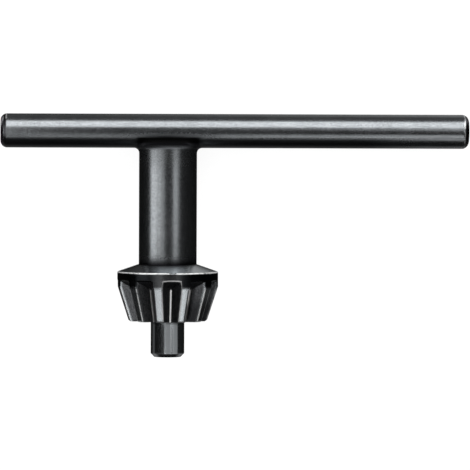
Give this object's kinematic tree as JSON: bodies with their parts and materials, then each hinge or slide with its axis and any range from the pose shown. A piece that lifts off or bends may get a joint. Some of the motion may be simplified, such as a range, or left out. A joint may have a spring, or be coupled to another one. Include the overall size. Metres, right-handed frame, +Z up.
{
  "type": "drill chuck key",
  "caption": "T-shaped drill chuck key: an off-centre crossbar handle, a round shank, a bevel-toothed head and a pilot pin, all one blackened steel piece.",
  "frame": {"origin": "on the surface that the key lies on, under the centre of its bounding box", "axes": "+X along the crossbar to its long end, +Y from the toothed head to the crossbar, +Z up. The key lies on its rim, the edge of its shank's top and its long end, so the shank slopes 9.8 degrees and the crossbar 1.7 degrees."},
  "size_m": [0.1102, 0.0568, 0.0238],
  "materials": {
    "blackened_steel": "black oxide over turned and tumbled steel, semi-gloss, with thin bright wear along the edges"
  },
  "bodies": {
    "root": {"chuck_key": "blackened_steel"}
  },
  "joints": []
}
